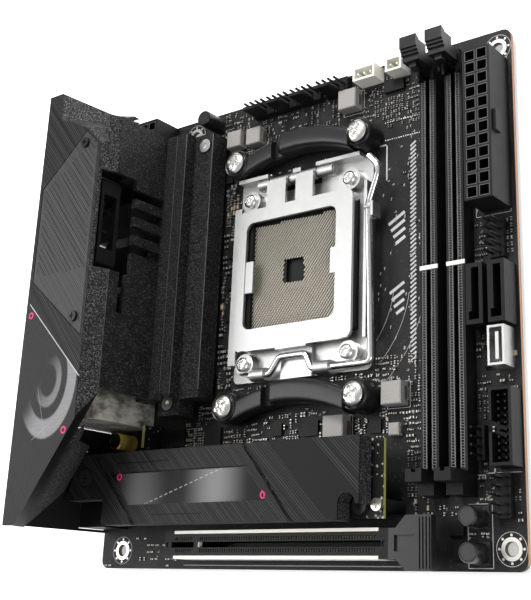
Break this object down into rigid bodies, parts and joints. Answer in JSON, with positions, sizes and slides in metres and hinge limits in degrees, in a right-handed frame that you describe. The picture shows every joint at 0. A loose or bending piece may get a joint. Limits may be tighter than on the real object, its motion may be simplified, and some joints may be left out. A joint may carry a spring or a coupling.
{
  "type": "computer motherboard",
  "caption": "Small-form-factor computer motherboard with a hinged processor socket, upright memory slots, an expansion slot, a tall rear cover with a fan and a slim drive heatsink.",
  "frame": {"origin": "centre of the near rear mounting hole, on the underside of the circuit board", "axes": "+X from the rear connectors to the front edge, +Y from the expansion slot edge to the far edge, +Z out of the component side"},
  "size_m": [0.1783, 0.1713, 0.0507],
  "materials": {
    "solder_mask": "satin black solder mask",
    "tin": "tinned",
    "black_steel": "black powder coat",
    "black_plastic": "matte",
    "satin_plastic": "satin, lightly grained",
    "gold": "gold flash",
    "nickel_steel": "nickel plated, satin",
    "bright_wire": "polished wire",
    "bright_screw": "polished, machined faces",
    "dark_aluminium": "anodised, fine diagonal hatch",
    "blasted_aluminium": "bead blasted, anodised",
    "ferrite": "pressed powder",
    "brass_jack": "nickel plated brass",
    "pad": "soft matte",
    "white_plastic": "ivory",
    "capacitor_sleeve": "black lacquered can",
    "gold_sleeve": "gold lacquered can"
  },
  "bodies": {
    "board": {"pcb": "solder_mask", "solder_pins": "tin", "socket_backplate": "black_steel", "socket_housing": "black_plastic", "socket_contacts": "gold", "socket_frame": "nickel_steel", "socket_screws": "nickel_steel", "load_plate_hinge_pin": "nickel_steel", "cooler_bracket_top": "satin_plastic", "cooler_bracket_bottom": "satin_plastic", "cooler_bracket_screws": "bright_screw", "dimm_slot_a": "black_plastic", "dimm_slot_b": "black_plastic", "dimm_latch_pins": "nickel_steel", "pcie_slot_body": "black_plastic", "pcie_slot_rails": "nickel_steel", "pcie_latch_pin": "nickel_steel", "atx_power_header": "black_plastic", "eps_power_header": "black_plastic", "power_pins": "tin", "io_shield": "black_steel", "io_cover": "dark_aluminium", "io_vent_plate": "dark_aluminium", "cover_screws": "black_steel", "vrm_heatsink": "blasted_aluminium", "heatsink_screws": "bright_screw", "vrm_chokes": "ferrite", "fan_frame": "black_plastic", "lan_usb_stack": "nickel_steel", "usb_stacks": "nickel_steel", "display_ports": "nickel_steel", "audio_jacks": "black_plastic", "antenna_jacks": "brass_jack", "m2_heatsink": "dark_aluminium", "m2_screws": "bright_screw", "m2_carrier_board": "solder_mask", "m2_thermal_pad": "pad", "m2_standoffs": "satin_plastic", "m2_sockets": "black_plastic", "chipset": "solder_mask", "chipset_heatsink": "blasted_aluminium", "usb3_header": "black_plastic", "usb_c_header": "nickel_steel", "sata_ports": "black_plastic", "fan_headers": "black_plastic", "white_headers": "white_plastic", "pin_headers": "black_plastic", "electrolytic_capacitors": "capacitor_sleeve", "audio_capacitor": "gold_sleeve", "inductors": "ferrite", "surface_chips": "black_plastic", "debug_card": "solder_mask"},
    "socket_lever": {"socket_lever": "bright_wire"},
    "load_plate": {"load_plate": "nickel_steel"},
    "dimm_latch_a": {"dimm_latch_a": "satin_plastic"},
    "dimm_latch_b": {"dimm_latch_b": "satin_plastic"},
    "pcie_latch": {"pcie_latch": "satin_plastic"},
    "fan_rotor": {"fan_rotor": "black_plastic"},
    "flashback_button": {"flashback_button": "satin_plastic"}
  },
  "joints": [
    {"name": "lever_turn", "type": "hinge", "parent": "board", "child": "socket_lever", "pos_m": [0.07874, 0.05753, 0.0058], "axis": [1, 0, 0], "range_deg": [0, 110]},
    {"name": "load_plate_turn", "type": "hinge", "parent": "board", "child": "load_plate", "pos_m": [0.07874, 0.12783, 0.0046], "axis": [-1, 0, 0], "range_deg": [0, 108]},
    {"name": "dimm_latch_a_turn", "type": "hinge", "parent": "board", "child": "dimm_latch_a", "pos_m": [0.13234, 0.15363, 0.006], "axis": [-1, 0, 0], "range_deg": [0, 26]},
    {"name": "dimm_latch_b_turn", "type": "hinge", "parent": "board", "child": "dimm_latch_b", "pos_m": [0.14189, 0.15363, 0.006], "axis": [-1, 0, 0], "range_deg": [0, 26]},
    {"name": "pcie_latch_turn", "type": "hinge", "parent": "board", "child": "pcie_latch", "pos_m": [0.12324, 0.00118, 0.0046], "axis": [0, 1, 0], "range_deg": [0, 20]},
    {"name": "fan_spin", "type": "hinge", "parent": "board", "child": "fan_rotor", "pos_m": [0.00424, 0.11133, 0.0346], "axis": [0, 0, 1], "continuous": true},
    {"name": "flashback_press", "type": "slide", "parent": "board", "child": "flashback_button", "axis": [1, 0, 0], "range_m": [0, 0.0008], "stiffness_N_per_m": 300, "springref_m": -0.0006}
  ]
}
